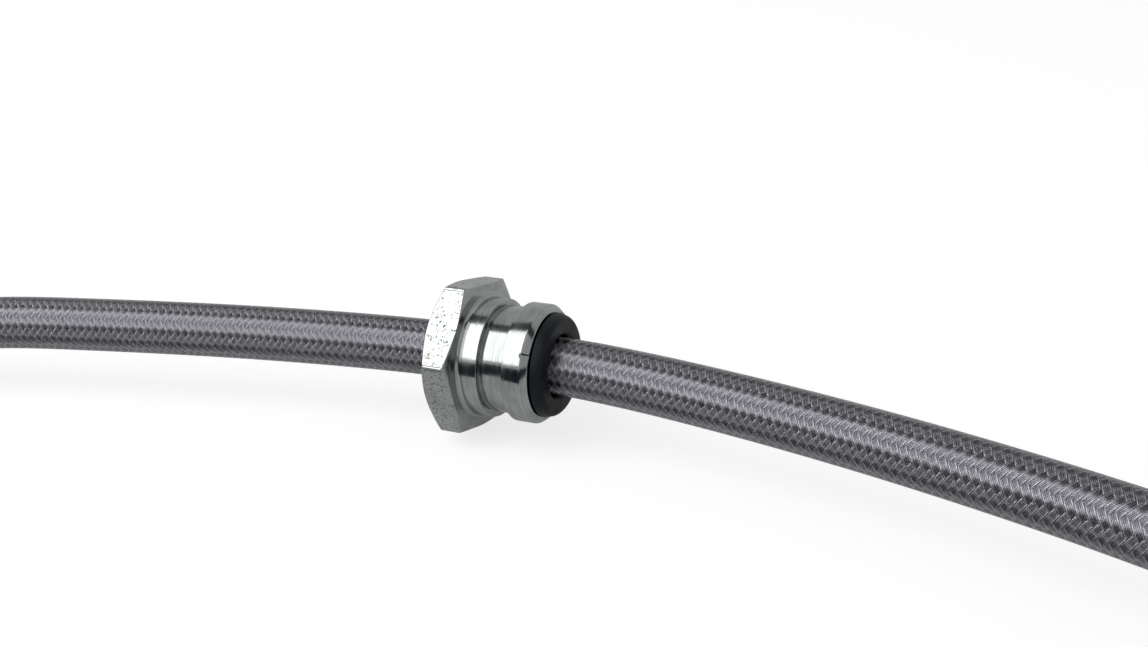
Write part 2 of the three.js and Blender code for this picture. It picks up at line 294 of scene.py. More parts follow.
def make_mesh(name, vertices, quads, lay=None, marks=None, caps=()):
    """A mesh object from arrays. lay is each vertex's place on the worked surface, in millimetres, and
    marks are named values of each vertex."""
    mesh = bpy.data.meshes.new(name)
    a, b, c, d = (vertices[quads[:, k]] - vertices[0] for k in range(4))
    if np.sum(np.cross(a, b) * c + np.cross(a, c) * d) < 0:
        quads = quads[:, ::-1]
        caps = [c[::-1] for c in caps]
    corners = np.concatenate([quads.reshape(-1)] + [np.array(c) for c in caps]).astype(np.int32)
    sizes = np.concatenate([np.full(len(quads), 4), [len(c) for c in caps]]).astype(np.int32)
    starts = np.concatenate([[0], np.cumsum(sizes)[:-1]]).astype(np.int32)
    mesh.vertices.add(len(vertices))
    mesh.vertices.foreach_set("co", np.ascontiguousarray(vertices, np.float32).reshape(-1))
    mesh.loops.add(len(corners))
    mesh.loops.foreach_set("vertex_index", corners)
    mesh.polygons.add(len(sizes))
    mesh.polygons.foreach_set("loop_start", starts)
    mesh.polygons.foreach_set("loop_total", sizes)
    mesh.polygons.foreach_set("use_smooth", np.ones(len(sizes), bool))
    mesh.update(calc_edges=True)
    if lay is not None:
        layer = mesh.uv_layers.new(name="lay")
        layer.data.foreach_set("uv", np.ascontiguousarray(lay[corners], np.float32).reshape(-1))
    for mark, values in (marks or {}).items():
        kind, field = ("FLOAT_VECTOR", "vector") if np.ndim(values) == 2 else ("FLOAT", "value")
        attribute = mesh.attributes.new(mark, kind, "POINT")
        attribute.data.foreach_set(field, np.ascontiguousarray(values, np.float32).reshape(-1))
    if mesh.validate():
        raise RuntimeError(f"{name} has faces that don't hold together")
    piece = bpy.data.objects.new(name, mesh)
    bpy.context.scene.collection.objects.link(piece)
    return piece


def rounded(profile, radii, steps=3):
    """The profile with each corner rounded. Profile is (..., points, 2) and closed, and each radius is cut
    back where its sides are short. Returns the points and a mark that is 1 on the roundings."""
    longest, end_mark, full_mark = 0.45, 0.55, 0.12 * MM
    before = np.roll(profile, 1, axis=-2) - profile
    after = np.roll(profile, -1, axis=-2) - profile
    room_before = np.linalg.norm(before, axis=-1, keepdims=True)
    room_after = np.linalg.norm(after, axis=-1, keepdims=True)
    cut = np.minimum(np.minimum(radii[:, None], longest * room_before), longest * room_after)
    first = profile + before / np.maximum(room_before, 1e-9) * cut
    last = profile + after / np.maximum(room_after, 1e-9) * cut
    parts = []
    for k in range(steps + 1):
        t = k / steps
        parts.append((1 - t) ** 2 * first + 2 * t * (1 - t) * profile + t**2 * last)
    points = np.stack(parts, axis=-2)
    shape = points.shape
    edge = np.ones(shape[:-1])
    edge[..., 0] = edge[..., -1] = end_mark
    edge = edge * np.minimum(cut / full_mark, 1.0)
    return points.reshape(*shape[:-3], -1, 2), edge.reshape(*shape[:-3], -1)


def carried_round(along, radius, angles, place):
    """Vertices and quads of a closed outline at each angle round the local X axis, placed by a matrix."""
    sideways, upwards = -radius * np.sin(angles)[:, None], radius * np.cos(angles)[:, None]
    vertices = np.stack([along, sideways, upwards], axis=-1).reshape(-1, 3)
    matrix = np.array(place)
    quads = grid_faces(*along.shape, closed_rows=True, closed_columns=True)
    return vertices @ matrix[:3, :3].T + matrix[:3, 3], quads


def turned_piece(name, corners, sides, place, shape_radius=None):
    """A closed body turned round the local X axis. Each corner of its outline is (along, radius, rounding in
    millimetres). shape_radius may change the radius at each place and angle, and place is its matrix."""
    angles = 2 * np.pi * np.arange(sides) / sides
    corners = np.array(corners)
    outline = np.broadcast_to(corners[:, :2], (sides, len(corners), 2))
    points, edge = rounded(outline, corners[:, 2] * MM)
    along, radius = points[..., 0], points[..., 1]
    if shape_radius is not None:
        radius = shape_radius(along, radius, angles[:, None])
    vertices, quads = carried_round(along, radius, angles, place)
    steps = np.hypot(np.diff(along, axis=1), np.diff(radius, axis=1))
    run = np.concatenate([np.zeros((sides, 1)), np.cumsum(steps, axis=1)], axis=1)
    around = np.broadcast_to(angles[:, None] * np.median(radius), run.shape)
    lay = np.stack([run, around], axis=-1) / MM
    piece = make_mesh(name, vertices, quads, lay.reshape(-1, 2), {"edge": edge.reshape(-1)})
    even_shading(piece)
    return piece


def even_shading(piece):
    """Flat faces stay flat in the shading, and the narrow roundings between them take the turn."""
    weighted = piece.modifiers.new("Even shading", "WEIGHTED_NORMAL")
    weighted.mode = "FACE_AREA"
    weighted.weight = 100


def from_corner(angle, corner_angle):
    """Angle from the nearest corner of a hexagon."""
    return (angle - corner_angle + math.pi / 6) % (math.pi / 3) - math.pi / 6


def hexagon_radius(angle, across_flats, corner_angle):
    """Distance from the axis to a hexagon with slightly rounded corners, at that angle."""
    flat = across_flats / 2
    offset = from_corner(angle, corner_angle)
    centre = (flat - HEX_ROUNDING) / math.cos(math.pi / 6)
    on_flat = flat / np.cos(math.pi / 6 - np.abs(offset))
    reach = HEX_ROUNDING**2 - (centre * np.sin(offset)) ** 2
    on_corner = centre * np.cos(offset) + np.sqrt(np.maximum(reach, 0))
    return np.where((reach > 0) & (on_corner < on_flat), on_corner, on_flat)


def hexagon_angles(sides, corner_angle):
    """Angles round a hexagon, evenly spread and with more of them at each rounded corner."""
    half_corner, in_corner = 0.035, 7
    even = 2 * np.pi * np.arange(sides) / sides
    close = np.linspace(-half_corner, half_corner, in_corner)
    corners = (corner_angle + np.arange(6)[:, None] * np.pi / 3 + close).reshape(-1) % (2 * np.pi)
    return np.unique(np.round(np.concatenate([even, corners]), 6))


def hexagonal_piece(name, outline, sides, across_flats, corner_angle, place, flats, thread=None):
    """A hexagonal body. outline gives its corners at an angle, each (along, radius, rounding in
    millimetres). flats is the number of the corner where its flats start, which are marked as drawn stock.
    thread is the number of the corner that its thread comes before, and the thread's points at each angle."""
    face_share, corner_width = 1.37, 0.03
    angles = hexagon_angles(sides, corner_angle)
    corners = np.array([outline(a) for a in angles])
    points, edge = rounded(corners[..., :2], corners[0, :, 2] * MM)
    each = points.shape[1] // corners.shape[1]
    if thread is not None:
        column = thread[0] * each
        turns = thread[1](angles)
        points = np.concatenate([points[:, :column], turns, points[:, column:]], axis=1)
        edge = np.concatenate([edge[:, :column], np.zeros(turns.shape[:2]), edge[:, column:]], axis=1)
    along, radius = points[..., 0], points[..., 1]
    vertices, quads = carried_round(along, radius, angles, place)
    # The place along the surface also follows the radius, so that turned lines are circles on an end face.
    run = along - face_share * radius
    around = np.broadcast_to(angles[:, None] * across_flats / 2, run.shape)
    lay = np.stack([run, around], axis=-1) / MM
    first = (flats + 1) * each - 1
    drawn = np.zeros(run.shape, bool)
    drawn[:, first : first + 2] = True
    at_corner = (np.abs(from_corner(angles, corner_angle)) < corner_width)[:, None] & drawn
    marks = {"edge": np.maximum(edge, at_corner).reshape(-1), "drawn": drawn.astype(float).reshape(-1)}
    piece = make_mesh(name, vertices, quads, lay.reshape(-1, 2), marks)
    even_shading(piece)
    return piece


# Shader helpers


class Nodes:
    """Adds nodes to a tree from left to right and joins them."""

    def __init__(self, tree):
        self.tree = tree
        self.column = 0

    def add(self, kind, **settings):
        node = self.tree.nodes.new(kind)
        node.location = (self.column, 0)
        self.column += 190
        for name, value in settings.items():
            setattr(node, name, value)
        return node

    def join(self, source, target):
        self.tree.links.new(source, target)

    def math(self, operation, first, second=None, third=None):
        node = self.add("ShaderNodeMath", operation=operation)
        for socket, value in zip(node.inputs, (first, second, third)):
            if value is None:
                continue
            if isinstance(value, (int, float)):
                socket.default_value = value
            else:
                self.join(value, socket)
        return node.outputs[0]

    def noise(self, vector, scale, detail=2.0, roughness=0.5):
        node = self.add("ShaderNodeTexNoise")
        node.inputs["Scale"].default_value = scale
        node.inputs["Detail"].default_value = detail
        node.inputs["Roughness"].default_value = roughness
        self.join(vector, node.inputs["Vector"])
        return node.outputs[0]

    def spread(self, value, low, high, to_low=0.0, to_high=1.0):
        node = self.add("ShaderNodeMapRange", interpolation_type="SMOOTHSTEP")
        limits = {"From Min": low, "From Max": high, "To Min": to_low, "To Max": to_high}
        for name, number in limits.items():
            node.inputs[name].default_value = number
        self.join(value, node.inputs["Value"])
        return node.outputs[0]

    def blend(self, factor, first, second, mode="MIX"):
        node = self.add("ShaderNodeMix", data_type="RGBA", blend_type=mode)
        for socket, value in ((node.inputs[0], factor), (node.inputs[6], first), (node.inputs[7], second)):
            if isinstance(value, (int, float, tuple)):
                socket.default_value = value
            else:
                self.join(value, socket)
        return node.outputs[2]

    def shade(self, colour, factor):
        """The colour times a factor that changes over the surface."""
        grey = self.blend(factor, (0, 0, 0, 1), (1, 1, 1, 1))
        return self.blend(1.0, colour, grey, "MULTIPLY")

    def scale(self, vector, factor):
        node = self.add("ShaderNodeVectorMath", operation="SCALE")
        self.join(vector, node.inputs[0])
        self.join(factor, node.inputs["Scale"])
        return node.outputs[0]

    def bump(self, height):
        """A normal from a height in metres."""
        node = self.add("ShaderNodeBump")
        node.inputs["Distance"].default_value = 1.0
        node.inputs["Strength"].default_value = 1.0
        self.join(height, node.inputs["Height"])
        return node.outputs[0]


def effect_group(name, inputs, outputs):
    """An empty shader node group with its named sockets."""
    tree = bpy.data.node_groups.new(name, "ShaderNodeTree")
    for label, kind, default in inputs:
        socket = tree.interface.new_socket(label, in_out="INPUT", socket_type=kind)
        if default is not None:
            socket.default_value = default
    for label, kind in outputs:
        tree.interface.new_socket(label, in_out="OUTPUT", socket_type=kind)
    nodes = Nodes(tree)
    entry = nodes.add("NodeGroupInput")
    return tree, nodes, entry


def close_group(nodes, values):
    leave = nodes.add("NodeGroupOutput")
    for name, value in values.items():
        nodes.join(value, leave.inputs[name])


def turning_lines_group():
    """Fine rings that a lathe leaves, from the place on the surface in millimetres."""
    tree, nodes, entry = effect_group(
        "Turning lines",
        (
            ("Surface place", "NodeSocketVector", None),
            ("Line spacing", "NodeSocketFloat", 0.12),
            ("Unevenness", "NodeSocketFloat", 0.5),
        ),
        (("Height", "NodeSocketFloat"), ("Streaks", "NodeSocketFloat")),
    )
    around_share, broad_share = 0.12, 0.16
    split = nodes.add("ShaderNodeSeparateXYZ")
    nodes.join(entry.outputs["Surface place"], split.inputs[0])
    along = nodes.math("DIVIDE", split.outputs[0], entry.outputs["Line spacing"])
    around = nodes.math("MULTIPLY", split.outputs[1], around_share)
    place = nodes.add("ShaderNodeCombineXYZ")
    nodes.join(along, place.inputs[0])
    nodes.join(around, place.inputs[1])
    fine = nodes.noise(place.outputs[0], scale=1.0, detail=1.0, roughness=0.6)
    broad_place = nodes.add("ShaderNodeCombineXYZ")
    nodes.join(nodes.math("MULTIPLY", along, broad_share), broad_place.inputs[0])
    nodes.join(around, broad_place.inputs[1])
    broad = nodes.noise(broad_place.outputs[0], scale=1.0, detail=1.0)
    uneven = nodes.math("MULTIPLY", nodes.math("SUBTRACT", broad, 0.5), entry.outputs["Unevenness"])
    height = nodes.math("ADD", fine, uneven)
    streaks = nodes.math("ADD", nodes.math("MULTIPLY", fine, 0.6), nodes.math("MULTIPLY", broad, 0.4))
    close_group(nodes, {"Height": height, "Streaks": nodes.spread(streaks, 0.34, 0.66)})
    return tree


def pits_group():
    """Scattered pits and specks, from the place in metres."""
    tree, nodes, entry = effect_group(
        "Pits and specks",
        (
            ("Place", "NodeSocketVector", None),
            ("Density", "NodeSocketFloat", 0.4),
            ("Scale", "NodeSocketFloat", 1.0),
        ),
        (("Pits", "NodeSocketFloat"), ("Mottle", "NodeSocketFloat"), ("Grain", "NodeSocketFloat")),
    )
    place = nodes.scale(entry.outputs["Place"], entry.outputs["Scale"])
    patches = nodes.noise(place, scale=700.0)
    grain = nodes.noise(place, scale=9000.0, roughness=0.6)
    crowding = nodes.math("MULTIPLY", nodes.math("SUBTRACT", patches, 0.5), 1.2)
    thick = nodes.math("ADD", entry.outputs["Density"], crowding)
    raggedness = nodes.math("MULTIPLY", nodes.math("SUBTRACT", grain, 0.5), 0.5)
    found = []
    for cells in (3000.0, 6000.0):
        voronoi = nodes.add("ShaderNodeTexVoronoi", feature="F1", voronoi_dimensions="3D")
        voronoi.inputs["Scale"].default_value = cells
        nodes.join(place, voronoi.inputs["Vector"])
        chance = nodes.add("ShaderNodeSeparateColor")
        nodes.join(voronoi.outputs["Color"], chance.inputs[0])
        reach = nodes.math("MULTIPLY", nodes.math("MULTIPLY", chance.outputs[0], chance.outputs[1]), thick)
        ragged = nodes.math("ADD", voronoi.outputs["Distance"], raggedness)
        found.append(nodes.spread(nodes.math("SUBTRACT", reach, ragged), 0.0, 0.12))
    pits = nodes.math("MAXIMUM", found[0], found[1])
    close_group(nodes, {"Pits": pits, "Mottle": patches, "Grain": grain})
    return tree


def handling_group():
    """Slow changes over a surface: wiped, dusty and worn patches, from the place in metres."""
    tree, nodes, entry = effect_group(
        "Handling",
        (("Place", "NodeSocketVector", None), ("Patch size", "NodeSocketFloat", 0.004)),
        (("Patches", "NodeSocketFloat"), ("Grain", "NodeSocketFloat")),
    )
    place = nodes.scale(entry.outputs["Place"], nodes.math("DIVIDE", 1.0, entry.outputs["Patch size"]))
    patches = nodes.noise(place, scale=1.0, detail=3.0, roughness=0.6)
    grain = nodes.noise(place, scale=40.0, detail=3.0, roughness=0.6)
    close_group(nodes, {"Patches": nodes.spread(patches, 0.3, 0.7), "Grain": grain})
    return tree


def wire_group():
    """The wires that lie side by side in a bundle. The surface place is wires across and millimetres along,
    and sideways points across the bundle. Each wire's normal turns as on a round wire."""
    tree, nodes, entry = effect_group(
        "Wire bundle",
        (
            ("Surface place", "NodeSocketVector", None),
            ("Sideways", "NodeSocketVector", None),
            ("Normal", "NodeSocketVector", None),
            ("Wires", "NodeSocketFloat", 5.0),
            ("Roundness", "NodeSocketFloat", 0.8),
        ),
        (
            ("Normal", "NodeSocketVector"),
            ("Groove shade", "NodeSocketFloat"),
            ("Tone", "NodeSocketFloat"),
            ("Outer wire", "NodeSocketFloat"),
        ),
    )
    split = nodes.add("ShaderNodeSeparateXYZ")
    nodes.join(entry.outputs["Surface place"], split.inputs[0])
    within = nodes.math("SUBTRACT", nodes.math("MULTIPLY", nodes.math("FRACT", split.outputs[0]), 2.0), 1.0)
    wire = nodes.math("FLOOR", split.outputs[0])
    last = nodes.math("SUBTRACT", entry.outputs["Wires"], 1.0)
    number = nodes.math("FLOORED_MODULO", wire, entry.outputs["Wires"])
    is_first, is_last = (nodes.math("COMPARE", number, other, 0.5) for other in (0.0, last))
    outer = nodes.math("MAXIMUM", is_first, is_last)
    # The groove shade below is painted shade in the hollows between the wires, kept weaker on the two outer
    # wires.
    shut = nodes.math("SUBTRACT", 1.0, nodes.math("MULTIPLY", outer, 0.6))
    groove = nodes.math("MULTIPLY", nodes.spread(nodes.math("ABSOLUTE", within), 0.5, 1.0), shut)
    place = nodes.add("ShaderNodeCombineXYZ")
    nodes.join(wire, place.inputs[0])
    nodes.join(nodes.math("MULTIPLY", split.outputs[1], 0.25), place.inputs[1])
    tone = nodes.noise(place.outputs[0], scale=1.7, detail=1.0)
    turn = nodes.math("MULTIPLY", within, entry.outputs["Roundness"])
    lean = nodes.math("ADD", turn, nodes.spread(tone, 0.2, 0.8, -0.12, 0.12))
    lean = nodes.math("MINIMUM", nodes.math("MAXIMUM", lean, -0.95), 0.95)
    upright = nodes.math("SQRT", nodes.math("SUBTRACT", 1.0, nodes.math("MULTIPLY", lean, lean)))
    total = nodes.add("ShaderNodeVectorMath", operation="ADD")
    nodes.join(nodes.scale(entry.outputs["Sideways"], lean), total.inputs[0])
    nodes.join(nodes.scale(entry.outputs["Normal"], upright), total.inputs[1])
    normal = nodes.add("ShaderNodeVectorMath", operation="NORMALIZE")
    nodes.join(total.outputs[0], normal.inputs[0])
    close_group(nodes, {"Normal": normal.outputs[0], "Groove shade": groove, "Tone": tone, "Outer wire": outer})
    return tree


def effect(nodes, name, builder, **values):
    """Places a node group, which is built the first time that it is asked for."""
    tree = bpy.data.node_groups.get(name) or builder()
    node = nodes.add("ShaderNodeGroup", node_tree=tree)
    for label, value in values.items():
        socket = node.inputs[label.replace("_", " ")]
        if isinstance(value, (int, float)):
            socket.default_value = value
        else:
            nodes.join(value, socket)
    return node


def new_material(name):
    material = bpy.data.materials.new(name)
    material.use_nodes = True
    material.node_tree.nodes.clear()
    nodes = Nodes(material.node_tree)
    return material, nodes


def surface_place(nodes):
    uv = nodes.add("ShaderNodeUVMap", uv_map="lay")
    return uv.outputs[0]


def object_place(nodes):
    return nodes.add("ShaderNodeTexCoord").outputs["Object"]


def finish_material(nodes, shader):
    output = nodes.add("ShaderNodeOutputMaterial")
    nodes.join(shader, output.inputs["Surface"])


def rgba(values, factor=1.0):
    return tuple(min(v * factor, 1.0) for v in values) + (1.0,)


def zinc_plate(name, pitting, line_spacing, roughness):
    """Bright zinc plate on turned steel, with pitted flats and worn edges."""
    line_height, pit_depth, grain_height = 0.0035 * MM, 0.012 * MM, 0.0035 * MM
    pitted_when_turned, more_when_drawn = 0.06, 0.92
    base = bpy.context.scene.brake_hose_finish.zinc
    material, nodes = new_material(name)
    place = object_place(nodes)
    lines = effect(
        nodes,
        "Turning lines",
        turning_lines_group,
        Surface_place=surface_place(nodes),
        Line_spacing=line_spacing,
        Unevenness=0.6,
    )
    pits = effect(nodes, "Pits and specks", pits_group, Place=place, Density=pitting)
    wear = effect(nodes, "Handling", handling_group, Place=place, Patch_size=0.003)
    drawn = nodes.add("ShaderNodeAttribute", attribute_name="drawn").outputs["Fac"]
    edge = nodes.add("ShaderNodeAttribute", attribute_name="edge").outputs["Fac"]
    turned = nodes.math("SUBTRACT", 1.0, drawn)
    streaks = nodes.math("MULTIPLY", lines.outputs["Streaks"], turned)
    pitting_here = nodes.math("ADD", nodes.math("MULTIPLY", drawn, more_when_drawn), pitted_when_turned)
    pitted = nodes.math("MULTIPLY", pits.outputs["Pits"], pitting_here)
    tone = nodes.spread(wear.outputs["Patches"], 0.0, 1.0, 0.84, 1.05)
    tone = nodes.math("MULTIPLY", tone, nodes.spread(streaks, 0.0, 1.0, 1.0, 0.76))
    toned = nodes.shade(rgba(base), tone)
    darker = nodes.blend(nodes.math("MULTIPLY", pitted, 0.75), toned, rgba(base, 0.1))
    worn = nodes.blend(nodes.math("MULTIPLY", edge, 0.3), darker, rgba(base, 1.45))
    rough = nodes.spread(wear.outputs["Patches"], 0.0, 1.0, roughness - 0.02, roughness + 0.04)
    for mask, extra in ((streaks, 0.1), (drawn, 0.1), (pitted, 0.25)):
        rough = nodes.math("ADD", rough, nodes.math("MULTIPLY", mask, extra))
    height = nodes.math("MULTIPLY", lines.outputs["Height"], turned)
    height = nodes.math("MULTIPLY", height, line_height)
    sunk = nodes.math("MULTIPLY", pitted, pit_depth)
    grain = nodes.math("MULTIPLY", nodes.math("MULTIPLY", pits.outputs["Grain"], drawn), grain_height)
    shader = nodes.add("ShaderNodeBsdfPrincipled")
    shader.inputs["Metallic"].default_value = 1.0
    nodes.join(worn, shader.inputs["Base Color"])
    nodes.join(rough, shader.inputs["Roughness"])
    relief = nodes.math("ADD", nodes.math("SUBTRACT", height, sunk), grain)
    nodes.join(nodes.bump(relief), shader.inputs["Normal"])
    finish_material(nodes, shader.outputs[0])
    return material


def stainless_wire():
    """Bundles of bright drawn wire."""
    base = bpy.context.scene.brake_hose_finish.wire
    material, nodes = new_material("Stainless wire")
    across = nodes.add("ShaderNodeAttribute", attribute_name="sideways")
    sideways = nodes.add("ShaderNodeVectorTransform", vector_type="VECTOR")
    sideways.convert_from, sideways.convert_to = "OBJECT", "WORLD"
    nodes.join(across.outputs["Vector"], sideways.inputs[0])
    wires = effect(
        nodes,
        "Wire bundle",
        wire_group,
        Surface_place=surface_place(nodes),
        Sideways=sideways.outputs[0],
        Normal=nodes.add("ShaderNodeNewGeometry").outputs["Normal"],
        Wires=float(bpy.context.scene.brake_hose_sizes.wires),
        Roundness=0.8,
    )
    wear = effect(nodes, "Handling", handling_group, Place=object_place(nodes), Patch_size=0.006)
    tone = nodes.spread(wires.outputs["Tone"], 0.25, 0.75, 0.8, 1.15)
    coloured = nodes.shade(rgba(base), tone)
    rise = nodes.add("ShaderNodeAttribute", attribute_name="rise").outputs["Fac"]
    crown_highlight, hollow_shade = nodes.spread(rise, 0.85, 1.0), nodes.spread(rise, 0.3, -0.3)
    layers = (
        # Painted highlight: the outer wire on each side of a bundle is made three times brighter.
        (wires.outputs["Outer wire"], 0.7, 3.0),
        # Painted highlight: the crown of each float, where the bundle stands highest, is made brighter.
        (crown_highlight, 0.55, 2.8),
        # Painted shade: where a bundle dives under the others, it is darkened.
        (hollow_shade, 0.5, 0.32),
        # Painted shade: the grooves between the wires are darkened to a tenth of the colour.
        (wires.outputs["Groove shade"], 0.9, 0.1),
    )
    for mask, strength, brightness in layers:
        coloured = nodes.blend(nodes.math("MULTIPLY", mask, strength), coloured, rgba(base, brightness))
    shader = nodes.add("ShaderNodeBsdfPrincipled", distribution="GGX")
    shader.inputs["Metallic"].default_value = 1.0
    nodes.join(coloured, shader.inputs["Base Color"])
    nodes.join(nodes.spread(wear.outputs["Patches"], 0.0, 1.0, 0.33, 0.38), shader.inputs["Roughness"])
    shader.inputs["Anisotropic"].default_value = 1.0
    nodes.join(sideways.outputs[0], shader.inputs["Tangent"])
    nodes.join(wires.outputs["Normal"], shader.inputs["Normal"])
    finish_material(nodes, shader.outputs[0])
    return material


def clear_jacket():
    """Clear plastic that has been extruded onto the braid, a little hazy on its surface."""
    ripple_height, grain_height = 0.006 * MM, 0.0006 * MM
    base = bpy.context.scene.brake_hose_finish.jacket
    material, nodes = new_material("Clear jacket")
    wear = effect(nodes, "Handling", handling_group, Place=object_place(nodes), Patch_size=0.005)
    ripple = nodes.math("MULTIPLY", wear.outputs["Patches"], ripple_height)
    fine = nodes.math("MULTIPLY", wear.outputs["Grain"], grain_height)
    shader = nodes.add("ShaderNodeBsdfPrincipled")
    shader.inputs["Base Color"].default_value = rgba(base)
    shader.inputs["Metallic"].default_value = 0.0
    shader.inputs["Transmission Weight"].default_value = 1.0
    shader.inputs["IOR"].default_value = 1.5
    shader.inputs["Specular IOR Level"].default_value = 0.1
    shader.inputs["Specular Tint"].default_value = rgba((0.88, 0.93, 1.0))
    nodes.join(nodes.spread(wear.outputs["Patches"], 0.0, 1.0, 0.2, 0.26), shader.inputs["Roughness"])
    nodes.join(nodes.bump(nodes.math("ADD", ripple, fine)), shader.inputs["Normal"])
    clear = nodes.add("ShaderNodeBsdfTransparent")
    path = nodes.add("ShaderNodeLightPath")
    mix = nodes.add("ShaderNodeMixShader")
    nodes.join(path.outputs["Is Shadow Ray"], mix.inputs[0])
    nodes.join(shader.outputs[0], mix.inputs[1])
    nodes.join(clear.outputs[0], mix.inputs[2])
    finish_material(nodes, mix.outputs[0])
    return material


def plain_plastic(name, base, roughness, shine, grain_height):
    """Rubber or smooth plastic, with a fine moulded grain and wiped patches."""
    material, nodes = new_material(name)
    wear = effect(nodes, "Handling", handling_group, Place=object_place(nodes), Patch_size=0.003)
    toned = nodes.blend(wear.outputs["Patches"], rgba(base, 0.8), rgba(base, 1.25))
    shader = nodes.add("ShaderNodeBsdfPrincipled")
    shader.inputs["Specular IOR Level"].default_value = shine
    rough = nodes.spread(wear.outputs["Patches"], 0.0, 1.0, roughness - 0.05, roughness + 0.07)
    nodes.join(toned, shader.inputs["Base Color"])
    nodes.join(rough, shader.inputs["Roughness"])
    grain = nodes.math("MULTIPLY", wear.outputs["Grain"], grain_height)
    nodes.join(nodes.bump(grain), shader.inputs["Normal"])
    finish_material(nodes, shader.outputs[0])
    return material


def pale_floor():
    """A pale floor that takes the object's shadow and shows white to the camera."""
    brightness, share_in_mirrors = 0.74, 0.3
    settings = bpy.context.scene.brake_hose_studio
    material, nodes = new_material("Pale floor")
    diffuse = nodes.add("ShaderNodeBsdfDiffuse")
    diffuse.inputs["Color"].default_value = rgba(settings.floor_colour)
    path = nodes.add("ShaderNodeLightPath")
    seen = nodes.math("MAXIMUM", path.outputs["Is Camera Ray"], path.outputs["Is Transmission Ray"])
    mirrored = nodes.math("MULTIPLY", path.outputs["Is Glossy Ray"], share_in_mirrors)
    glow = nodes.add("ShaderNodeEmission")
    shown = nodes.math("MAXIMUM", seen, mirrored)
    nodes.join(nodes.math("MULTIPLY", shown, brightness), glow.inputs["Strength"])
    total = nodes.add("ShaderNodeAddShader")
    nodes.join(diffuse.outputs[0], total.inputs[0])
    nodes.join(glow.outputs[0], total.inputs[1])
    finish_material(nodes, total.outputs[0])
    return material


def card_paint(name, paint):
    """Dark card that a photographer sets beside bright metal to give it dark edges."""
    material, nodes = new_material(name)
    diffuse = nodes.add("ShaderNodeBsdfDiffuse")
    diffuse.inputs["Color"].default_value = rgba(paint)
    finish_material(nodes, diffuse.outputs[0])
    return material


def dress(piece, material):
    piece.data.materials.clear()
    piece.data.materials.append(material)
    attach(piece, "root")


def end_place(at_start):
    """The matrix of an end fitting: local X points away from the hose, with x = 0 at the ferrule's mouth."""
    ends = [Vector(p) * MM + Vector(HOSE.origin) for p in HOSE_POINTS]
    last, inner = (ends[0], ends[1]) if at_start else (ends[-1], ends[-2])
    outwards = (last - inner).normalized()
    turn = Matrix.Rotation(math.atan2(outwards.y, outwards.x), 4, "Z")
    return Matrix.Translation(last - outwards * HOSE_IN_FERRULE) @ turn


# Pieces of the hose

# Section of a bundle: each point across it in half widths, and outwards in wire diameters.
BUNDLE_SECTION = ((-1.0, 0.3), (-0.8, 0.47), (0.0, 0.55), (0.8, 0.47), (1.0, 0.3), (0.0, -0.5))

# How many bundles' wires lie between two bundles in the pattern, so that no two look alike.
BUNDLE_STRIDE = 31


def bundle_grid(sizes, q, direction, number):
    """Points of one bundle, their places on its wires, the way across it and how far it has risen. q counts
    the crossings along the hose, and direction is 1 or -1 for the way it winds."""
    s = q * sizes.lead / (2 * sizes.carriers)
    lean = math.atan2(2 * math.pi * sizes.braid_radius, sizes.lead)
    across, height = np.array(BUNDLE_SECTION).T
    offset = across * sizes.bundle_width / 2
    phase = q + 2 * number if direction > 0 else -q + 2 * number + 2
    swing = np.cos(2 * np.pi * (phase - 0.5) / 4)
    angle = direction * 2 * np.pi * s / sizes.lead + 2 * np.pi * number / sizes.carriers
    s_grid = np.clip(s[:, None] - direction * math.sin(lean) * offset, 0, HOSE.length)
    angle_grid = angle[:, None] + math.cos(lean) * offset / sizes.braid_radius
    radius_grid = (sizes.braid_radius + sizes.weave_height * swing)[:, None] + height * sizes.wire_diameter
    grid = HOSE.surface(s_grid, angle_grid, radius_grid)
    wires = (across + 1) / 2 * sizes.wires + BUNDLE_STRIDE * sizes.wires * number
    lay = np.stack(np.broadcast_arrays(wires, (s / math.cos(lean) / MM)[:, None]), axis=-1)
    sideways = np.repeat(unit(grid[:, 4] - grid[:, 0]), len(across), axis=0)
    return grid.reshape(-1, 3), lay.reshape(-1, 2), sideways, np.repeat(swing, len(across))


def braid_pieces(name, stretches):
    """The woven layer: bundles that wind both ways, over two and under two, cut into stretches."""
    sizes = bpy.context.scene.brake_hose_sizes
    steps_each = 3
    crossings = int(HOSE.length / (sizes.lead / (2 * sizes.carriers)))
    bounds = np.linspace(0, crossings * steps_each, stretches + 1).astype(int)
    columns = len(BUNDLE_SECTION)
    pieces = []
    for part, (low, high) in enumerate(zip(bounds[:-1], bounds[1:])):
        q = np.arange(low, high + 1) / steps_each
        bundles = [
            bundle_grid(sizes, q, direction, number)
            for direction in (1, -1)
            for number in range(sizes.carriers)
        ]
        vertices, lay, sideways, rise = (np.concatenate(values) for values in zip(*bundles))
        quads, caps = [], []
        for start in range(0, len(vertices), len(q) * columns):
            quads.append(grid_faces(len(q), columns, closed_columns=True, start=start))
            end = start + (len(q) - 1) * columns
            caps += [np.arange(start, start + columns), np.arange(end, end + columns)[::-1]]
        marks = {"sideways": sideways, "rise": rise}
        pieces.append(make_mesh(f"{name}_{part + 1}", vertices, np.concatenate(quads), lay, marks, caps))
    return pieces


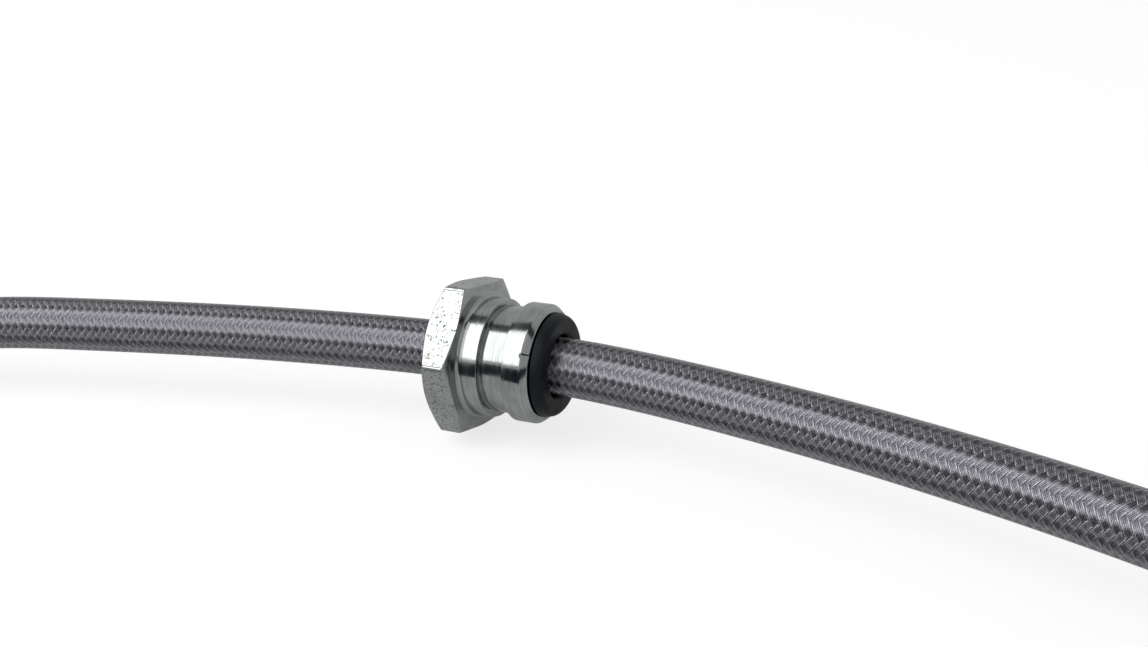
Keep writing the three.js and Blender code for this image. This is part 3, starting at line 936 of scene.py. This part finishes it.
def tube_piece(name, diameter, bore, sides, steps):
    """A layer of the hose as a closed tube."""
    s = np.linspace(0, HOSE.length, steps)
    angles = 2 * np.pi * np.arange(sides) / sides
    angle_grid = np.broadcast_to(angles[None, :], (steps, sides))
    s_grid = np.broadcast_to(s[:, None], (steps, sides))
    outer = HOSE.surface(s_grid, angle_grid, np.full((steps, sides), diameter / 2)).reshape(-1, 3)
    inner = HOSE.surface(s_grid, angle_grid, np.full((steps, sides), bore / 2)).reshape(-1, 3)
    number = steps * sides
    walls = [
        grid_faces(steps, sides, closed_columns=True)[:, ::-1],
        grid_faces(steps, sides, closed_columns=True, start=number),
    ]
    j = np.arange(sides)
    j2 = (j + 1) % sides
    last = (steps - 1) * sides
    walls.append(np.stack([j, j2, number + j2, number + j], axis=-1))
    walls.append(np.stack([last + j2, last + j, number + last + j, number + last + j2], axis=-1))
    lay = np.stack([s_grid / MM, angle_grid * diameter / 2 / MM], axis=-1).reshape(-1, 2)
    return make_mesh(name, np.concatenate([outer, inner]), np.concatenate(walls), np.concatenate([lay, lay]))


class BRAKEHOSE_OT_braid(bpy.types.Operator):
    """Weave the wire braid"""

    bl_idname = "brakehose.braid"
    bl_label = "Wire braid"

    def execute(self, context):
        wire = stainless_wire()
        pieces = braid_pieces("braid", stretches=4)
        for piece in pieces:
            dress(piece, wire)
        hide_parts("wire_braid")
        return {"FINISHED"}


class BRAKEHOSE_OT_inner_tube(bpy.types.Operator):
    """Make the tube that carries the fluid"""

    bl_idname = "brakehose.inner_tube"
    bl_label = "Inner tube"

    def execute(self, context):
        sizes = context.scene.brake_hose_sizes
        tube = tube_piece("inner_liner", sizes.tube_diameter, sizes.tube_bore, sides=48, steps=220)
        tint = context.scene.brake_hose_finish.tube
        plastic = plain_plastic("Inner tube plastic", tint, roughness=0.4, shine=0.5, grain_height=0.001 * MM)
        dress(tube, plastic)
        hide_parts("inner_tube")
        return {"FINISHED"}


class BRAKEHOSE_OT_jacket(bpy.types.Operator):
    bl_idname = "brakehose.jacket"
    bl_label = "Clear jacket"

    def execute(self, context):
        sizes = context.scene.brake_hose_sizes
        bore = sizes.tube_diameter + 0.2 * MM
        jacket = tube_piece("jacket", sizes.jacket_diameter, bore, sides=64, steps=420)
        dress(jacket, clear_jacket())
        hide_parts("hose_jacket")
        path = HOSE.points[::12]
        tuple(end_place(True).translation)
        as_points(path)
        return {"FINISHED"}


def collar_outline(sizes):
    """The collar's outline at each angle, as a function, closed through its bore."""
    flat = sizes.across_flats / 2
    corner = sizes.across_flats / math.sqrt(3)
    back_bevel, front_bevel = 0.85 * MM, 0.5 * MM
    fillet, barrel_edge = 0.4 * MM, 0.35 * MM
    barrel = sizes.barrel_diameter / 2
    groove = barrel - sizes.groove_depth
    relief = groove - 0.15 * MM
    nick_angle, nick_width, nick_depth = math.radians(60), 0.03, 0.16 * MM
    back = -sizes.hex_thickness
    groove_start = sizes.shoulder_length
    relief_end = groove_start + 0.5 * MM
    groove_end = groove_start + sizes.groove_width
    nose = groove_end + sizes.nose_length
    bevel_start, bevel_depth = nose - 0.8 * MM, 0.65 * MM
    bore = sizes.bush_diameter / 2 + 0.15 * MM
    spigot = sizes.bush_bore / 2 + 1.05 * MM
    counterbore = back + 1.5 * MM

    def outline(angle):
        reach = hexagon_radius(angle, sizes.across_flats, sizes.roll)
        share = (reach - flat) / (corner - flat)
        nick = nick_depth * math.exp(-(((angle - nick_angle) / nick_width) ** 2))
        return [
            (back, spigot, 0.1),
            (back, flat, 0.08),
            (back + back_bevel * share, reach, 0.14),
            (-front_bevel * share, reach, 0.12),
            (0.0, flat, 0.08),
            (0.0, barrel + fillet, 0.05),
            (barrel_edge, barrel, 0.15),
            (groove_start, barrel, 0.08),
            (groove_start, relief, 0.05),
            (relief_end, relief, 0.04),
            (relief_end, groove, 0.04),
            (groove_end, groove, 0.06),
            (groove_end, barrel, 0.09),
            (bevel_start - 0.3 * MM, barrel, 0.05),
            (bevel_start, barrel - nick, 0.14),
            (nose, barrel - bevel_depth - 0.5 * nick, 0.12),
            (nose, bore, 0.12),
            (counterbore, bore, 0.1),
            (counterbore, spigot, 0.1),
        ]

    return outline


class BRAKEHOSE_OT_collar(bpy.types.Operator):
    """Make the hexagonal centre collar"""

    bl_idname = "brakehose.collar"
    bl_label = "Centre collar"

    def execute(self, context):
        sizes = context.scene.brake_hose_collar
        collar = hexagonal_piece(
            "collar",
            collar_outline(sizes),
            sides=360,
            across_flats=sizes.across_flats,
            corner_angle=sizes.roll,
            place=Matrix.Translation(COLLAR_CENTRE),
            flats=2,
        )
        plate = zinc_plate("Zinc plate of the collar", pitting=0.72, line_spacing=0.1, roughness=0.09)
        dress(collar, plate)
        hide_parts("center_collar")
        return {"FINISHED"}


class BRAKEHOSE_OT_bush(bpy.types.Operator):
    """Make the rubber bush that holds the hose in the collar"""

    bl_idname = "brakehose.bush"
    bl_label = "Rubber bush"

    def execute(self, context):
        sizes = context.scene.brake_hose_collar
        back = -sizes.hex_thickness
        nose = sizes.shoulder_length + sizes.groove_width + sizes.nose_length
        front = nose + sizes.lip_length
        hole, body, edge = sizes.bush_bore / 2, sizes.bush_diameter / 2, sizes.lip_edge
        spigot, spigot_start, spigot_end = hole + 0.9 * MM, back - 0.7 * MM, back + 1.65 * MM
        lip, lip_back = sizes.lip_diameter / 2, nose + 0.15 * MM
        corners = [
            (spigot_start, hole, 0.2),
            (spigot_start, spigot, 0.25),
            (spigot_end, spigot, 0.1),
            (spigot_end, body, 0.1),
            (lip_back, body, 0.1),
            (lip_back, lip, 0.12),
            (front - edge, lip - sizes.lip_taper, 0.3),
            (front, lip - sizes.lip_taper - edge, 0.2),
            (front, hole + edge, 0.2),
            (front - edge, hole, 0.2),
        ]
        bush = turned_piece("bush", corners, sides=128, place=Matrix.Translation(COLLAR_CENTRE))
        tint = context.scene.brake_hose_finish.rubber
        rubber = plain_plastic("Bush rubber", tint, roughness=0.45, shine=0.22, grain_height=0.0025 * MM)
        dress(bush, rubber)
        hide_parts("rubber_bush")
        return {"FINISHED"}


class BRAKEHOSE_OT_ferrules(bpy.types.Operator):
    """Make the two crimped ferrules"""

    bl_idname = "brakehose.ferrules"
    bl_label = "Crimped ferrules"

    def execute(self, context):
        sizes = context.scene.brake_hose_ends
        outer, total, depth = sizes.ferrule_diameter / 2, sizes.ferrule_length, sizes.crimp_depth
        hole, neck, neck_start = 4.05 * MM, 3.2 * MM, total - 2 * MM
        band, margin = total / 4, total / 6
        bands = (margin, band + 2 * margin)
        ridge_width, ridge_share, slope = 0.07, 0.45, 0.7 * MM
        corners = [(0.0, hole, 0.25), (0.0, outer, 0.4)]
        for start in bands:
            corners += [(start + band * t, outer, 0.3) for t in (0.0, 0.13, 0.3, 0.5, 0.7, 0.87, 1.0)]
        corners += [(total, outer, 0.4), (total, neck, 0.2), (neck_start, neck, 0.1), (neck_start, hole, 0.1)]

        def crimped(along, radius, angle):
            """The dies press flats into two bands and leave narrow ridges between them."""
            lobe = (angle * sizes.crimp_sides / (2 * np.pi)) % 1.0
            ridge = np.exp(-(((lobe - 0.5) / ridge_width) ** 2)) * ridge_share
            pressed = np.zeros_like(along)
            for start in bands:
                t = np.clip(np.minimum(along - start, start + band - along) / slope, 0, 1)
                pressed = np.maximum(pressed, t * t * (3 - 2 * t))
            outside = radius > outer - 0.5 * MM
            return np.where(outside, radius - pressed * depth * (1 - ridge), radius)

        plate = zinc_plate("Zinc plate of the fittings", pitting=0.35, line_spacing=0.14, roughness=0.13)
        for label, at_start in (("union", True), ("banjo", False)):
            place = end_place(at_start)
            ferrule = turned_piece(f"crimp_{label}", corners, sides=192, place=place, shape_radius=crimped)
            dress(ferrule, plate)
            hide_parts(f"{label}_ferrule")
        return {"FINISHED"}


def stem_corners(bore, ferrule_length):
    """Corners of the barbed stem in the inner tube, and of the flange that the ferrule closes over."""
    tip = bore / 2 - 0.25 * MM
    root, first, flange = tip - 0.2 * MM, 3 * MM, ferrule_length - 2.7 * MM
    flange_radius, waist, flange_end = 3.6 * MM, 2.9 * MM, flange + 0.4 * MM
    corners = [(first, STEM_BORE), (first, root)]
    for barb in first + (flange - 0.3 * MM - first) * np.arange(1, 6) / 6:
        corners += [(barb, tip), (barb + 0.1 * MM, root)]
    corners += [(flange, root), (flange, flange_radius), (flange_end, flange_radius)]
    corners += [(flange_end, waist), (ferrule_length + FERRULE_GAP, waist)]
    return [(along, radius, 0.08) for along, radius in corners]


def socket_thread(start, depth, inner, outer, pitch):
    """A thread in a socket that runs in from start, as a function that gives its points at each angle."""

    def turns(angles):
        steps = int(8 * depth / pitch)
        along = np.broadcast_to(np.linspace(start, start - depth, steps), (len(angles), steps))
        turn = (along / pitch - angles[:, None] / (2 * math.pi)) % 1.0
        cut = np.clip((0.85 - np.abs(2 * turn - 1)) / 0.7, 0, 1)
        fade = np.clip(np.minimum(start - along, along - start + depth) / pitch, 0, 1)
        return np.stack([along, inner + (outer - inner) * cut * fade], axis=-1)

    return turns


def combine(piece, other, operation):
    """Joins another solid to the piece, or cuts it out of the piece."""
    piece.modifiers.clear()
    change = piece.modifiers.new(operation, "BOOLEAN")
    change.operation, change.object, change.solver = operation, other, "EXACT"
    mesh = bpy.data.meshes.new_from_object(piece.evaluated_get(bpy.context.evaluated_depsgraph_get()))
    piece.modifiers.clear()
    piece.data = mesh
    bpy.data.objects.remove(other)


def drill(place):
    """The solid that cuts the passage between the eye's hole and the stem."""
    piece = bpy.data.objects.new("drill", bpy.data.meshes.new("drill"))
    bpy.context.scene.collection.objects.link(piece)
    radius, depth = 1.15 * MM, 3 * MM
    shape = bmesh.new()
    bmesh.ops.create_cone(shape, cap_ends=True, segments=32, radius1=radius, radius2=radius, depth=depth)
    shape.to_mesh(piece.data)
    shape.free()
    piece.matrix_world = place
    bpy.context.view_layer.update()
    return piece


class BRAKEHOSE_OT_fittings(bpy.types.Operator):
    """Make the union and the banjo fitting"""

    bl_idname = "brakehose.fittings"
    bl_label = "End fittings"

    def execute(self, context):
        plate = bpy.data.materials.get("Zinc plate of the fittings")
        self.union(context, plate)
        self.banjo(context, plate)
        return {"FINISHED"}

    def union(self, context, plate):
        sizes = context.scene.brake_hose_ends
        stem = stem_corners(context.scene.brake_hose_sizes.tube_bore, sizes.ferrule_length)
        start = sizes.ferrule_length + FERRULE_GAP
        mouth = start + sizes.union_length
        floor = mouth - 10.5 * MM
        cone_end, step = floor + 1.6 * MM, start - 2.3 * MM
        flat = sizes.union_across_flats / 2
        corner = sizes.union_across_flats / math.sqrt(3)
        turn = math.pi / 6
        passage, seat, bevel, lead_in = 1.25 * MM, 2.6 * MM, 0.9 * MM, 0.7 * MM
        wall = (sizes.thread_diameter - 1.1 * sizes.thread_pitch) / 2

        def outline(angle):
            reach = hexagon_radius(angle, sizes.union_across_flats, turn)
            share = (reach - flat) / (corner - flat)
            shell = [(start, flat, 0.15), (start + bevel * share, reach, 0.15)]
            shell += [(mouth - bevel * share, reach, 0.15), (mouth, flat, 0.15)]
            socket = [(mouth, wall + lead_in, 0.12), (mouth - lead_in, wall, 0.12)]
            socket += [(floor, wall, 0.1), (floor, seat, 0.1)]
            middle = [(cone_end, passage + 0.3 * MM, 0.1), (cone_end, passage, 0.1)]
            middle += [(step, passage, 0.1), (step, STEM_BORE, 0.1)]
            return stem + shell + socket + middle

        turns = socket_thread(mouth - 0.9 * MM, 9 * MM, wall, sizes.thread_diameter / 2, sizes.thread_pitch)
        socket_floor = len(stem) + 6
        nut = hexagonal_piece(
            "union_nut",
            outline,
            sides=180,
            across_flats=sizes.union_across_flats,
            corner_angle=turn,
            place=end_place(True),
            flats=len(stem) + 1,
            thread=(socket_floor, turns),
        )
        dress(nut, plate)
        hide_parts("union_fitting")

    def banjo(self, context, plate):
        sizes = context.scene.brake_hose_ends
        stem = stem_corners(context.scene.brake_hose_sizes.tube_bore, sizes.ferrule_length)
        start = sizes.ferrule_length + FERRULE_GAP
        centre = start + 11.6 * MM
        half, outer, hole = sizes.eye_thickness / 2, sizes.eye_diameter / 2, sizes.eye_bore / 2
        place = end_place(False)
        neck_shape = stem + self.neck_corners(start, centre - 0.8 * outer)
        neck = turned_piece("banjo_neck", neck_shape, sides=96, place=place)
        edge = 0.4 * MM
        corners = [(-half, hole + edge), (-half, outer - edge), (edge - half, outer)]
        corners += [(share * half, outer) for share in (-0.6, -0.3, 0.0, 0.3, 0.6)]
        corners += [(half - edge, outer), (half, outer - edge), (half, hole + edge), (half - edge, hole)]
        corners += [(share * half, hole) for share in (0.45, 0.3, 0.18, 0.06, -0.06, -0.18, -0.3, -0.45)]
        corners += [(edge - half, hole)]
        upright = place @ Matrix.Translation((centre, 0, 0)) @ Matrix.Rotation(-math.pi / 2, 4, "Y")
        eye = turned_piece("banjo_eye", [(*corner, 0.12) for corner in corners], sides=160, place=upright)
        combine(eye, neck, "UNION")
        drill_end = Matrix.Translation((centre - hole - 0.4 * MM, 0, 0))
        combine(eye, drill(place @ drill_end @ Matrix.Rotation(math.pi / 2, 4, "Y")), "DIFFERENCE")
        eye.data.set_sharp_from_angle(angle=math.radians(40))
        dress(eye, plate)
        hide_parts("banjo_fitting")

    def neck_corners(self, start, end):
        """The flange against the ferrule, and the neck that flares into the eye."""
        passage, step = 1.25 * MM, start - 2.3 * MM
        flange, waist, flare = 4.7 * MM, 4.2 * MM, 4.75 * MM
        corners = [(start, flange - 0.4 * MM, 0.12), (start + 0.4 * MM, flange, 0.15)]
        corners += [(start + 2.1 * MM, flange, 0.15), (start + 2.6 * MM, waist, 0.2)]
        corners += [(start + 3.2 * MM, waist, 0.5), (start + 4.2 * MM, 4.45 * MM, 0.5), (end, flare, 0.02)]
        return corners + [(end, passage, 0.02), (step, passage, 0.02), (step, STEM_BORE, 0.02)]


def stage_sheet(name, vertices, quads, material):
    """A sheet of the studio, which is no part of the hose."""
    mesh = bpy.data.meshes.new(name)
    mesh.from_pydata(vertices, [], quads)
    mesh.materials.append(material)
    sheet = bpy.data.objects.new(name, mesh)
    bpy.context.scene.collection.objects.link(sheet)
    return sheet


def slab(name, near, far, width, material):
    """A flat sheet between two points, that wide along X."""
    near, far, side = Vector(near), Vector(far), Vector((width / 2, 0, 0))
    corners = [near - side, near + side, far + side, far - side]
    return stage_sheet(name, [tuple(c) for c in corners], [(0, 1, 2, 3)], material)


def low_card(gap, reach, rise, material):
    """A card that lies in front of the hose at that gap, follows its bend and rises away from it."""
    end, thickness = 1.6, 0.8 * MM
    x = np.concatenate([[-end], np.linspace(HOSE.points[0, 0], HOSE.points[-1, 0], 40), [end]])
    near = np.interp(x, HOSE.points[:, 0], HOSE.points[:, 1]) - gap
    rows = [np.stack([x, near, np.full_like(x, thickness)], axis=-1)]
    rows.append(np.stack([x, np.full_like(x, COLLAR_CENTRE.y - reach), np.full_like(x, rise)], axis=-1))
    return stage_sheet("low_card", np.concatenate(rows).tolist(), grid_faces(2, len(x)).tolist(), material)


def aimed_light(name, centre, target, width, height, radiance):
    """An area lamp of that brightness, turned to the target."""
    lamp = bpy.data.lights.new(name, "AREA")
    lamp.shape = "RECTANGLE"
    lamp.size = width
    lamp.size_y = height
    lamp.energy = radiance * width * height * math.pi
    piece = bpy.data.objects.new(name, lamp)
    direction = Vector(target) - Vector(centre)
    piece.location = centre
    piece.rotation_euler = direction.to_track_quat("-Z", "Y").to_euler()
    bpy.context.scene.collection.objects.link(piece)
    return piece


class BRAKEHOSE_OT_studio(bpy.types.Operator):
    """Set up the camera, the floor and the light"""

    bl_idname = "brakehose.studio"
    bl_label = "Studio"

    def execute(self, context):
        scene = context.scene
        settings = scene.brake_hose_studio
        scene.view_settings.view_transform = "Standard"
        camera = bpy.data.cameras.new("Camera")
        camera.sensor_fit = "HORIZONTAL"
        camera.sensor_width = 36.0
        camera.lens = CAMERA_LENS
        camera.clip_start = 0.005
        camera.clip_end = 50.0
        holder = bpy.data.objects.new("Camera", camera)
        axes = Matrix((CAMERA_RIGHT, CAMERA_UP, -Vector(CAMERA_FORWARD))).transposed().to_4x4()
        holder.matrix_world = Matrix.Translation(COLLAR_CENTRE + Vector(CAMERA_OFFSET)) @ axes
        scene.collection.objects.link(holder)
        scene.camera = holder

        reach = 6.0
        slab("floor", (0, -reach, 0), (0, reach, 0), 2 * reach, pale_floor())

        centre = COLLAR_CENTRE
        elevation, distance, shift = math.radians(48), 0.9, 0.9
        box_centre = centre + Vector((0, -math.cos(elevation), math.sin(elevation))) * distance
        strength = settings.softbox_strength
        box = aimed_light("Softbox", box_centre, centre, width=1.6, height=1.2, radiance=strength)
        box.location.x -= shift

        black, grey = (0.02, 0.025, 0.035), (0.2, 0.21, 0.22)
        low = low_card(gap=0.036, reach=0.65, rise=0.09, material=card_paint("Black card", black))
        card_height = 0.9
        near, far = centre + Vector((0, -0.09, card_height)), centre + Vector((0, 0.2, card_height))
        high = slab("high_card", near, far, width=3.0, material=card_paint("Grey card", grey))
        for card in (low, high):
            card.visible_camera = False
            card.visible_shadow = False
            card.visible_diffuse = False

        world = bpy.data.worlds.new("Room")
        scene.world = world
        world.use_nodes = True
        world.node_tree.nodes.clear()
        nodes = Nodes(world.node_tree)
        path = nodes.add("ShaderNodeLightPath")
        seen = nodes.math("MAXIMUM", path.outputs["Is Camera Ray"], path.outputs["Is Transmission Ray"])
        strength = nodes.spread(seen, 0.0, 1.0, settings.room_strength, 1.0)
        background = nodes.add("ShaderNodeBackground")
        background.inputs["Color"].default_value = (1, 1, 1, 1)
        nodes.join(strength, background.inputs["Strength"])
        output = nodes.add("ShaderNodeOutputWorld")
        nodes.join(background.outputs[0], output.inputs["Surface"])
        return {"FINISHED"}


class BRAKEHOSE_PT_panel(bpy.types.Panel):
    """Lists the pieces of the brake hose"""

    bl_idname = "BRAKEHOSE_PT_panel"
    bl_label = "Brake Hose"
    bl_space_type = "VIEW_3D"
    bl_region_type = "UI"
    bl_category = "Brake Hose"

    def draw(self, context):
        layout = self.layout
        for operator in OPERATORS:
            layout.operator(operator.bl_idname)
        for group, attribute in GROUPS:
            box = layout.box()
            box.label(text=group.__doc__)
            for name in group.__annotations__:
                box.prop(getattr(context.scene, attribute), name)


GROUPS = (
    (BRAKEHOSE_PG_hose, "brake_hose_sizes"),
    (BRAKEHOSE_PG_collar, "brake_hose_collar"),
    (BRAKEHOSE_PG_ends, "brake_hose_ends"),
    (BRAKEHOSE_PG_finish, "brake_hose_finish"),
    (BRAKEHOSE_PG_studio, "brake_hose_studio"),
)

OPERATORS = (
    BRAKEHOSE_OT_studio,
    BRAKEHOSE_OT_braid,
    BRAKEHOSE_OT_inner_tube,
    BRAKEHOSE_OT_collar,
    BRAKEHOSE_OT_bush,
    BRAKEHOSE_OT_ferrules,
    BRAKEHOSE_OT_fittings,
    BRAKEHOSE_OT_jacket,
)


def register():
    for group, attribute in GROUPS:
        bpy.utils.register_class(group)
        setattr(bpy.types.Scene, attribute, bpy.props.PointerProperty(type=group))
    for cls in (*OPERATORS, BRAKEHOSE_PT_panel):
        bpy.utils.register_class(cls)


def unregister():
    for cls in reversed((*OPERATORS, BRAKEHOSE_PT_panel)):
        bpy.utils.unregister_class(cls)
    for group, attribute in reversed(GROUPS):
        delattr(bpy.types.Scene, attribute)
        bpy.utils.unregister_class(group)


def main():
    register()
    bpy.ops.brakehose.studio()
    bpy.ops.brakehose.braid()
    bpy.ops.brakehose.inner_tube()
    bpy.ops.brakehose.collar()
    bpy.ops.brakehose.bush()
    bpy.ops.brakehose.ferrules()
    bpy.ops.brakehose.fittings()
    bpy.ops.brakehose.jacket()


if __name__ == "__main__":
    main()
